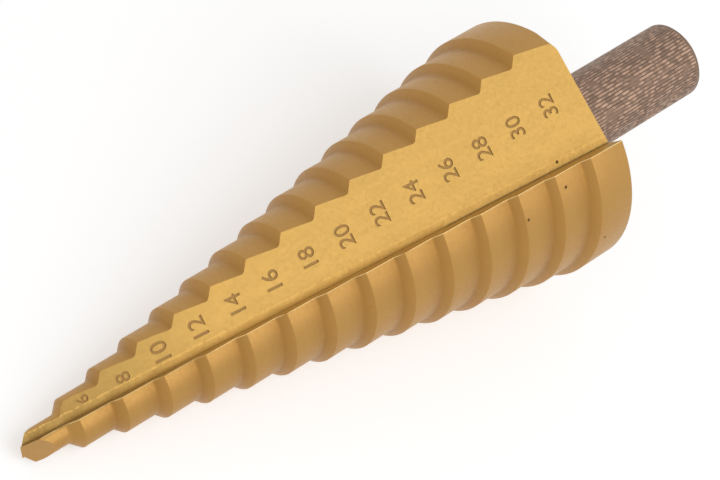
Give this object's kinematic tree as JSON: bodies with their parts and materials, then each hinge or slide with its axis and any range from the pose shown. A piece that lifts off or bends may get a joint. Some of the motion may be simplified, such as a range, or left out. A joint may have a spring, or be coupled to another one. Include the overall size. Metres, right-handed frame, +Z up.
{
  "type": "step drill bit",
  "caption": "Long stepped drill bit with a cone of rising steps, two straight flutes and a plain round shank, lying on one flute.",
  "frame": {"origin": "on the bench under the middle of the drill's bounding box", "axes": "+X from the point towards the shank along the bench, +Y across the drill, +Z up from the bench; the drill's own axis lies in the XZ plane and rises 9.8 degrees towards the shank"},
  "size_m": [0.1004, 0.032, 0.0292],
  "materials": {
    "coated_steel": "satin gold-coloured coating over ground steel, browner on the shank"
  },
  "bodies": {
    "root": {"step_drill": "coated_steel"}
  },
  "joints": []
}
